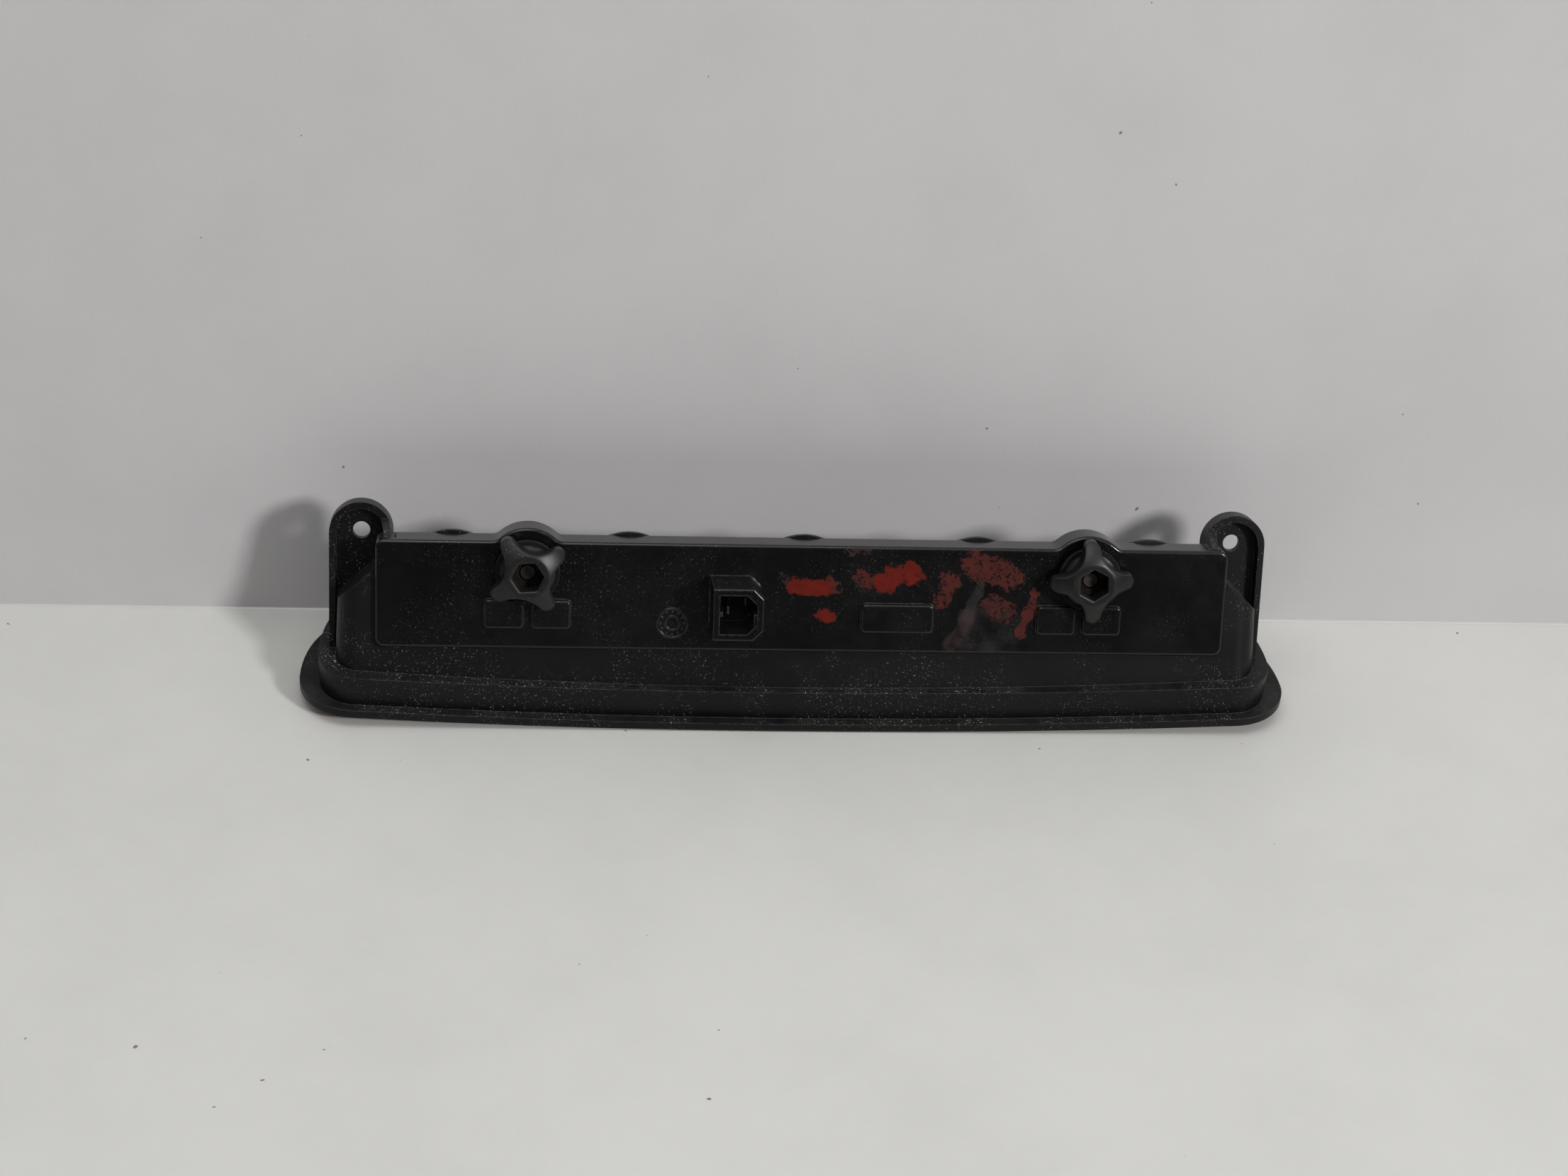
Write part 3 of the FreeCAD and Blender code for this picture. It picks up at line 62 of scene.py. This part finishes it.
class Graph:
    """Short way to build a material's node tree."""

    def __init__(self, name):
        self.material = bpy.data.materials.new(name)
        self.material.use_nodes = True
        self.tree = self.material.node_tree
        self.tree.nodes.clear()
        self.output = self.add("ShaderNodeOutputMaterial")

    def add(self, kind, **settings):
        node = self.tree.nodes.new(kind)
        for key, value in settings.items():
            setattr(node, key, value)
        return node

    def put(self, value, socket):
        """Feed a socket from another socket, or set it to a number, colour or vector."""
        if isinstance(value, bpy.types.NodeSocket):
            self.tree.links.new(value, socket)
        else:
            socket.default_value = value

    def math(self, operation, a, b=0.0, clamp=False):
        """Sum, product or other operation on two numbers; clamp keeps the result within 0 and 1."""
        node = self.add("ShaderNodeMath", operation=operation, use_clamp=clamp)
        self.put(a, node.inputs[0])
        self.put(b, node.inputs[1])
        return node.outputs[0]

    def vector_math(self, operation, a, b):
        """Node for an operation on two vectors."""
        node = self.add("ShaderNodeVectorMath", operation=operation)
        self.put(a, node.inputs[0])
        self.put(b, node.inputs[1])
        return node

    def dot(self, a, b):
        """Dot product of two vectors."""
        return self.vector_math("DOT_PRODUCT", a, b).outputs["Value"]

    def position(self):
        """Position in the shared frame at rest, in metres; it stays with the piece when a joint moves."""
        return self.add("ShaderNodeTexCoord").outputs["Object"]

    def noise(self, scale, detail=3.0, roughness=0.5, stretch=None):
        """Noise over the object, scale in features per metre."""
        where = self.position()
        if stretch is not None:
            where = self.vector_math("MULTIPLY", where, stretch).outputs[0]
        node = self.add("ShaderNodeTexNoise")
        self.put(where, node.inputs["Vector"])
        node.inputs["Scale"].default_value = scale
        node.inputs["Detail"].default_value = detail
        node.inputs["Roughness"].default_value = roughness
        return node.outputs["Fac"]

    def ramp(self, value, low, high, start=0.0, end=1.0):
        """Map low..high smoothly to start..end."""
        node = self.add("ShaderNodeMapRange", interpolation_type="SMOOTHSTEP")
        self.put(value, node.inputs["Value"])
        for key, number in (("From Min", low), ("From Max", high), ("To Min", start), ("To Max", end)):
            self.put(number, node.inputs[key])
        return node.outputs["Result"]

    def mix(self, factor, a, b):
        """Mix of two colours."""
        node = self.add("ShaderNodeMix", data_type="RGBA")
        self.put(factor, node.inputs["Factor"])
        self.put(a, node.inputs["A"])
        self.put(b, node.inputs["B"])
        return node.outputs["Result"]

    def blend(self, factor, a, b):
        """Mix of two numbers."""
        node = self.add("ShaderNodeMix", data_type="FLOAT")
        self.put(factor, node.inputs[0])
        self.put(a, node.inputs[2])
        self.put(b, node.inputs[3])
        return node.outputs[0]

    def rounded(self, radius):
        """Shading normal with edges rounded by a radius in metres."""
        node = self.add("ShaderNodeBevel", samples=6)
        node.inputs["Radius"].default_value = radius
        return node.outputs["Normal"]

    def edges(self, radius, low=0.02, high=0.25):
        """1 on sharp edges, 0 on flat faces."""
        flat = self.add("ShaderNodeNewGeometry").outputs["Normal"]
        bend = self.math("SUBTRACT", 1.0, self.dot(self.rounded(radius), flat))
        return self.ramp(bend, low, high)

    def bump(self, height, distance, normal=None):
        """Normal tilted by a height map, distance in metres for a height of 1."""
        node = self.add("ShaderNodeBump")
        node.inputs["Strength"].default_value = 1.0
        node.inputs["Distance"].default_value = distance
        self.put(height, node.inputs["Height"])
        if normal is not None:
            self.put(normal, node.inputs["Normal"])
        return node.outputs["Normal"]

    def surface(self, hidden=None, **inputs):
        """Principled surface, clear where hidden is 1; keys are its sockets with underscores for spaces."""
        node = self.add("ShaderNodeBsdfPrincipled")
        for key, value in inputs.items():
            self.put(value, node.inputs[key.replace("_", " ")])
        shader = node.outputs[0]
        if hidden is not None:
            choice = self.add("ShaderNodeMixShader")
            self.put(hidden, choice.inputs[0])
            self.put(shader, choice.inputs[1])
            self.put(self.add("ShaderNodeBsdfTransparent").outputs[0], choice.inputs[2])
            shader = choice.outputs[0]
        self.put(shader, self.output.inputs["Surface"])
        return self.material


def grey(level):
    """Neutral opaque colour."""
    return (level, level, level, 1)


def tinted(level, tint):
    """Opaque colour that scales a tint's three parts by a level."""
    return tuple(level * part for part in tint) + (1,)


# --- paint on the mounting face ----------------------------------------------------------------


@dataclass
class Stroke:
    """Brush stroke between two points, given in millimetres along the lamp and up the face."""

    start: tuple
    end: tuple
    width: float
    strength: float
    cover: float
    colour: tuple = RED
    streaks_per_metre: float = 620
    streak_fade: float = 0.12
    shine: float = 0.15


def wipe(start, end, width, strength, cover, colour=GREY_SMEAR):
    """A thin cloudy mark, as left by a rag."""
    return Stroke(start, end, width, strength, cover, colour,
                  streaks_per_metre=150, streak_fade=0.4, shine=0.35)


STROKES = [
    Stroke((14, 51), (21, 51), 3.5, 0.8, 0.6, DULL_PINK),
    Stroke((-9, 42), (-6, 39), 3, 0.7, 0.5, DULL_PINK),
    wipe((15, 46), (21, 37), 5, 0.7, 0.6),
    wipe((61.5, 40), (58, 27), 4, 0.9, 0.95),
    wipe((58, 27), (53, 17), 6, 0.8, 0.8, DULL_PINK),
    wipe((66, 28), (62, 17), 15, 0.7, 0.8),
    wipe((76, 26), (73, 16), 7, 0.6, 0.7),
    Stroke((-4, 38), (7, 37.5), 6.5, 1.0, 0.95),
    Stroke((9, 40), (11, 37), 4, 0.9, 0.6, FADED_RED),
    Stroke((6, 28), (8.5, 27), 5.5, 1.0, 0.9),
    Stroke((19, 42), (22, 40.5), 6, 0.95, 0.66, FADED_RED),
    Stroke((27, 40), (31, 42.5), 8, 1.0, 0.82),
    Stroke((36.5, 44.5), (38, 42), 7.5, 1.0, 0.9),
    Stroke((48.5, 34.5), (51.5, 39.5), 8, 0.95, 0.66, FADED_RED),
    Stroke((60, 46.5), (72, 42.5), 10, 0.95, 0.66, FADED_RED),
    Stroke((67, 32), (71, 30), 9, 0.85, 0.56, FADED_RED),
    Stroke((82, 36), (77, 22), 4, 1.0, 0.7, FADED_RED),
]


def place_on_face(g):
    """Distances along the lamp and up the face, bent a little so that no stroke is straight."""
    bend = 6 * MM
    where = g.position()
    across = g.dot(where, (1, 0, 0))
    climb = g.math("SUBTRACT", g.dot(where, tuple(FACE_UP)), FACE_FOOT_UP)
    wobble = g.math("MULTIPLY", g.math("SUBTRACT", g.noise(140, 2), 0.5), bend)
    across = g.math("ADD", across, wobble)
    climb = g.math("ADD", climb, g.math("MULTIPLY", wobble, -0.8))
    return across, climb


def distance_from_line(g, start, end):
    """Distance from the nearest point of the line between two points of the face, in metres."""
    across, climb = place_on_face(g)
    run = end - start
    step = run / run.length_squared
    along = g.math("ADD",
                   g.math("MULTIPLY", g.math("SUBTRACT", across, start.x), step.x),
                   g.math("MULTIPLY", g.math("SUBTRACT", climb, start.y), step.y), clamp=True)
    off_x = g.math("SUBTRACT", across, g.math("ADD", g.math("MULTIPLY", along, run.x), start.x))
    off_up = g.math("SUBTRACT", climb, g.math("ADD", g.math("MULTIPLY", along, run.y), start.y))
    return g.math("SQRT", g.math("ADD", g.math("MULTIPLY", off_x, off_x), g.math("MULTIPLY", off_up, off_up)))


def stroke_mask(g, stroke):
    """1 under the stroke's paint, 0 beside it: a ragged outline, streaks inside, the face's front only."""
    width = stroke.width * MM
    away = distance_from_line(g, Vector(stroke.start) * MM, Vector(stroke.end) * MM)
    ragged = g.math("MULTIPLY", g.math("SUBTRACT", g.noise(600, 4, 0.7), 0.5), 0.8 * width)
    inside = g.ramp(g.math("ADD", away, ragged), 0.36 * width, 0.55 * width, 1.0, 0.0)
    bare = 0.68 - 0.45 * stroke.cover
    streaks = g.ramp(g.noise(stroke.streaks_per_metre, 5, 0.7), bare, bare + stroke.streak_fade)
    normal = g.add("ShaderNodeNewGeometry").outputs["Normal"]
    facing = g.ramp(g.dot(normal, tuple(FACE_OUT)), 0.55, 0.9)
    return g.math("MULTIPLY", g.math("MULTIPLY", inside, streaks),
                  g.math("MULTIPLY", facing, stroke.strength))


def stroke_colour(g, stroke):
    """The paint's colour, clouded with a darker shade of it."""
    return g.mix(g.noise(300, 3), stroke.colour, tinted(0.45, stroke.colour[:3]))


# --- materials ---------------------------------------------------------------------------------


def moulded_plastic(name, shade, tint=BLUISH, grain=0.02, gloss=0.34, shine=0.4, dusty=0.5,
                    edge_wear_and_highlight_width=0.6, rounding=0.45, strokes=()):
    """Moulded plastic: fine grain, cloudy handling marks, edges lightened partly by wear and partly as a
    painted highlight, dust and strokes of paint.

    Grain, the width of the edge wear and painted highlight, and rounding are in millimetres; shade is the
    grey level of clean plastic.
    """
    g = Graph(name)
    cloud = g.ramp(g.noise(38, 4, 0.6), 0.35, 0.7)
    colour = g.mix(cloud, tinted(shade, tint), tinted(1.7 * shade, tint))
    # Edges lightened: partly wear, partly a painted highlight standing in for light caught by the rounded
    # edges.
    wear_and_edge_highlight = g.math("MULTIPLY", g.edges(edge_wear_and_highlight_width * MM, 0.01, 0.15), g.ramp(g.noise(420, 3), 0.3, 0.62))
    colour = g.mix(wear_and_edge_highlight, colour, tinted(4 * shade + 0.025, tint))

    up = g.ramp(g.dot(g.add("ShaderNodeNewGeometry").outputs["Normal"], (0, 0, 1)), 0.2, 0.95)
    specks = g.ramp(g.noise(1700, 1), 0.68, 0.71)
    patches = g.ramp(g.noise(45, 3), 0.40, 0.60)
    dust = g.math("MULTIPLY", specks, g.math("MULTIPLY", patches, g.blend(up, 0.35 * dusty, dusty)))
    film = g.math("MULTIPLY", up, g.ramp(g.noise(90, 5, 0.7), 0.3, 0.8, 0.01, 0.06 * dusty))
    colour = g.mix(g.math("ADD", dust, film, clamp=True), colour, DUST)

    hazy = g.ramp(g.noise(24, 4, 0.6), 0.3, 0.75)
    rough = g.math("ADD", g.blend(g.noise(170, 4, 0.65), gloss - 0.06, gloss + 0.06),
                   g.math("MULTIPLY", hazy, 0.08))
    rough = g.math("ADD", rough, g.math("MULTIPLY", dust, 0.3))
    for stroke in strokes:
        mask = stroke_mask(g, stroke)
        colour = g.mix(mask, colour, stroke_colour(g, stroke))
        rough = g.blend(mask, rough, 0.42)
        shine = g.blend(mask, shine, stroke.shine)

    height = g.math("ADD", g.noise(5200, 2), g.math("MULTIPLY", g.noise(900, 2), 0.7))
    normal = g.bump(height, grain * MM, g.rounded(rounding * MM))
    return g.surface(Base_Color=colour, Roughness=rough, Normal=normal, Specular_IOR_Level=shine)


def housing_plastic():
    return moulded_plastic("black_moulding", shade=0.0022, gloss=0.36, shine=0.20, dusty=0.8)


def cover_plastic():
    """Smoother and glossier than the housing, with the paint on it."""
    # The cover's edges get a wider band of wear and painted highlight.
    return moulded_plastic("black_cover", shade=0.0018, gloss=0.18, shine=0.42, grain=0.006, dusty=0.2,
                           edge_wear_and_highlight_width=1.2, strokes=STROKES)


def knob_plastic():
    """Softly rounded all over, as worn by fingers."""
    return moulded_plastic("knob_plastic", shade=0.0038, tint=NEUTRAL, gloss=0.32, shine=0.36, dusty=0.3,
                           rounding=1.3)


def washer_plastic():
    return moulded_plastic("washer_plastic", shade=0.0030, tint=NEUTRAL, grain=0.12, gloss=0.6, shine=0.12)


def holder_plastic():
    return moulded_plastic("grey_plastic", shade=0.12, tint=NEUTRAL, gloss=0.5)


def red_lens():
    """Clear red plastic with fine scratches; lit from outside it reads dark red."""
    g = Graph("red_lens")
    scratches = g.ramp(g.noise(700, 2, stretch=(0.06, 1.0, 1.0)), 0.62, 0.7)
    colour = g.mix(g.noise(25, 2), (0.42, 0.006, 0.009, 1), (0.55, 0.012, 0.014, 1))
    colour = g.mix(g.math("MULTIPLY", g.edges(0.4 * MM), 0.5), colour, (0.75, 0.10, 0.09, 1))
    rough = g.blend(scratches, 0.07, 0.3)
    normal = g.bump(g.noise(900, 2), 0.01 * MM, g.rounded(0.4 * MM))
    return g.surface(Base_Color=colour, Roughness=rough, Normal=normal, Transmission_Weight=0.55, IOR=1.49,
                     Coat_Weight=0.4, Coat_Roughness=0.05)


def metallised_plastic():
    """Vacuum-metallised reflector: bright with faint clouding."""
    g = Graph("metallised_plastic")
    colour = g.mix(g.noise(60, 3), (0.80, 0.80, 0.81, 1), (0.68, 0.68, 0.70, 1))
    colour = g.mix(g.edges(0.4 * MM), colour, (0.5, 0.5, 0.52, 1))
    rough = g.blend(g.noise(200, 4), 0.08, 0.2)
    return g.surface(Base_Color=colour, Metallic=1.0, Roughness=rough,
                     Normal=g.bump(g.noise(1200, 2), 0.01 * MM, g.rounded(0.3 * MM)))


def metal(name, bright, dull, rust=0.0, rough=0.35):
    """Drawn or stamped metal, clouded from bright to dull, with brighter edges and spots of rust."""
    g = Graph(name)
    shade = g.mix(g.ramp(g.noise(300, 4), 0.3, 0.7), tinted(1, bright), tinted(1, dull))
    stain = g.math("MULTIPLY", g.ramp(g.noise(500, 5, 0.7), 0.42, 0.6), rust)
    shade = g.mix(stain, shade, RUST)
    polished = tuple(min(1.0, 1.4 * part) for part in bright) + (1,)
    shade = g.mix(g.math("MULTIPLY", g.edges(0.2 * MM), 0.4), shade, polished)
    metallic = g.math("SUBTRACT", 1.0, g.math("MULTIPLY", stain, 0.9))
    roughness = g.math("ADD", g.blend(g.noise(800, 3), rough - 0.08, rough + 0.1),
                       g.math("MULTIPLY", stain, 0.4), clamp=True)
    return g.surface(Base_Color=shade, Metallic=metallic, Roughness=roughness,
                     Normal=g.bump(g.noise(2500, 3), 0.02 * MM, g.rounded(0.2 * MM)))


def contact_brass():
    return metal("contact_brass", (0.72, 0.52, 0.22), (0.45, 0.32, 0.14), rust=0.1)


def tinned_brass_painted_shade():
    # Kept near black: painted shade of the inside of the connector's socket, where the terminals sit.
    return metal("tinned_brass_painted_shade", (0.07, 0.065, 0.055), (0.04, 0.036, 0.03), rust=0.2)


def zinc_steel():
    # Kept dark: painted shade of the deep pocket in the knob where the stud's end shows; the spots of rust
    # are rust.
    return metal("zinc_steel", (0.060, 0.059, 0.058), (0.035, 0.034, 0.033), rust=0.12, rough=0.42)


def blackened_steel():
    return metal("blackened_steel", (0.020, 0.019, 0.018), (0.010, 0.009, 0.009), rust=0.05, rough=0.5)


def tungsten():
    return metal("tungsten", (0.30, 0.30, 0.32), (0.15, 0.15, 0.16))


def clear_glass():
    """Bulb glass, faintly hazy where it was handled."""
    g = Graph("clear_glass")
    rough = g.blend(g.noise(80, 3), 0.0, 0.04)
    tint = g.mix(g.edges(0.3 * MM), (0.97, 0.98, 0.98, 1), (0.85, 0.88, 0.88, 1))
    return g.surface(Base_Color=tint, Roughness=rough, Transmission_Weight=1.0, IOR=1.5,
                     Normal=g.bump(g.noise(200, 2), 0.01 * MM))


def foam_rubber():
    """Seal rubber: matt, with fine pores."""
    g = Graph("foam_rubber")
    colour = g.mix(g.noise(900, 3), grey(0.018), grey(0.035))
    colour = g.mix(g.edges(0.3 * MM), colour, grey(0.05))
    return g.surface(Base_Color=colour, Roughness=g.blend(g.noise(300, 2), 0.75, 0.95),
                     Normal=g.bump(g.noise(3000, 3), 0.08 * MM, g.rounded(0.2 * MM)))


def dress():
    """Give every piece its material, by the longest key that its name starts with."""
    rubber = foam_rubber()
    looks = {
        "housing": housing_plastic(),
        "back_cover": cover_plastic(),
        "cover_seal": rubber,
        "lens_seal": rubber,
        "lens": red_lens(),
        "reflector": metallised_plastic(),
        "contact_strip": contact_brass(),
        "terminal": tinned_brass_painted_shade(),
        "stud": zinc_steel(),
        "knob_nut": blackened_steel(),
        "knob": knob_plastic(),
        "washer": washer_plastic(),
        "bulb_holder": holder_plastic(),
        "bulb": clear_glass(),
        "filament": tungsten(),
    }
    for name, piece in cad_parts.items():
        kind = max((key for key in looks if name.startswith(key)), key=len)
        piece.data.materials.clear()
        piece.data.materials.append(looks[kind])


# --- stage -------------------------------------------------------------------------------------


def stage_surface(name, colour, rough):
    """Pale paint with faint clouds and a few specks, clear from behind and to light that starts at it."""
    g = Graph(name)
    touch = 1 * MM
    shade = g.mix(g.ramp(g.noise(9, 5, 0.65), 0.35, 0.7), tinted(1, colour), tinted(0.94, colour))
    shade = g.mix(g.ramp(g.noise(230, 1), 0.80, 0.81), shade, (0.20, 0.18, 0.15, 1))
    behind = g.add("ShaderNodeNewGeometry").outputs["Backfacing"]
    touching = g.math("LESS_THAN", g.add("ShaderNodeLightPath").outputs["Ray Length"], touch)
    return g.surface(hidden=g.math("MAXIMUM", behind, touching), Base_Color=shade,
                     Roughness=g.blend(g.noise(40, 3), rough, rough + 0.1),
                     Normal=g.bump(g.noise(700, 3), 0.05 * MM))


def stage_plane(name, corners, material):
    """Four-cornered plane of the stage, its front where the corners run anticlockwise."""
    mesh = bpy.data.meshes.new(name)
    mesh.from_pydata([Vector(corner) for corner in corners], [], [(0, 1, 2, 3)])
    mesh.materials.append(material)
    plane = bpy.data.objects.new(name, mesh)
    bpy.context.scene.collection.objects.link(plane)


def stage():
    """Pale floor under the lens and a pale wall behind."""
    low, high = cad_box
    side = 1.6
    floor = low[2] - 0.2 * MM
    wall = high[1] + 18 * MM
    stage_plane("floor",
                [(-side, -side, floor), (side, -side, floor), (side, wall, floor), (-side, wall, floor)],
                stage_surface("floor", (0.60, 0.60, 0.575), 0.45))
    stage_plane("wall",
                [(-side, wall, floor), (side, wall, floor), (side, wall, floor + side),
                 (-side, wall, floor + side)],
                stage_surface("wall", (0.52, 0.507, 0.512), 0.55))


def area_light(name, place, target, width, height, power, colour=(1, 1, 1)):
    """Rectangular light aimed at a target; sizes in metres, power in watts."""
    lamp = bpy.data.lights.new(name, "AREA")
    lamp.shape = "RECTANGLE"
    lamp.size = width
    lamp.size_y = height
    lamp.energy = power
    lamp.color = colour
    holder = bpy.data.objects.new(name, lamp)
    holder.location = place
    holder.rotation_euler = (Vector(target) - Vector(place)).to_track_quat("-Z", "Y").to_euler()
    bpy.context.scene.collection.objects.link(holder)


def surround():
    """Faint bluish light from all around, nearly dark at the horizon and strongest overhead."""
    world = bpy.data.worlds.new("surround")
    world.use_nodes = True
    nodes = world.node_tree.nodes
    links = world.node_tree.links
    split = nodes.new("ShaderNodeSeparateXYZ")
    links.new(nodes.new("ShaderNodeTexCoord").outputs["Generated"], split.inputs[0])
    climb = nodes.new("ShaderNodeMapRange")
    climb.interpolation_type = "SMOOTHSTEP"
    links.new(split.outputs["Z"], climb.inputs["Value"])
    for key, number in (("From Min", 0.15), ("From Max", 0.9), ("To Min", 0.03), ("To Max", 0.5)):
        climb.inputs[key].default_value = number
    nodes["Background"].inputs["Color"].default_value = (0.88, 0.90, 0.94, 1)
    links.new(climb.outputs["Result"], nodes["Background"].inputs["Strength"])
    bpy.context.scene.world = world


def lights():
    """A low soft light from the right, a broad one overhead, and one below the floor for the lens."""
    area_light("key", place=(1.71, -2.18, 1.60), target=(0, 0, 0.03), width=0.40, height=0.40,
               power=66.0, colour=(1.0, 0.99, 0.98))
    area_light("overhead", place=(-0.30, -0.45, 1.60), target=(0, -0.1, 0), width=1.2, height=0.9,
               power=9.0, colour=(1.0, 0.99, 0.97))
    area_light("below", place=(0.3, -0.4, -1.2), target=(0, 0, 0), width=3.0, height=3.0, power=50.0)


def camera():
    """Camera above and slightly to the left, tilted a little, with the lamp small in the middle."""
    focal_length = 67.777
    distance = 1.0456
    pitch = math.radians(34.58)
    yaw = math.radians(-6.55)
    roll = math.radians(4.5)
    target = Vector((-0.0070, 0.0, 0.0456))
    look = Vector((-math.sin(yaw) * math.cos(pitch), math.cos(yaw) * math.cos(pitch), -math.sin(pitch)))
    lens = bpy.data.cameras.new("camera")
    lens.sensor_width = 36.0
    lens.lens = focal_length
    lens.clip_start = 0.01
    holder = bpy.data.objects.new("camera", lens)
    holder.location = target - look * distance
    turn = look.to_track_quat("-Z", "Y").to_matrix()
    tilt = turn @ Vector((0, 0, 1))
    holder.rotation_euler = (Matrix.Rotation(roll, 3, tilt) @ turn).to_euler()
    bpy.context.scene.collection.objects.link(holder)
    bpy.context.scene.camera = holder


def colours():
    """Plain colour management, so that greys stay neutral."""
    view = bpy.context.scene.view_settings
    view.view_transform = "Standard"
    view.look = "None"


dress()
stage()
surround()
lights()
camera()
colours()
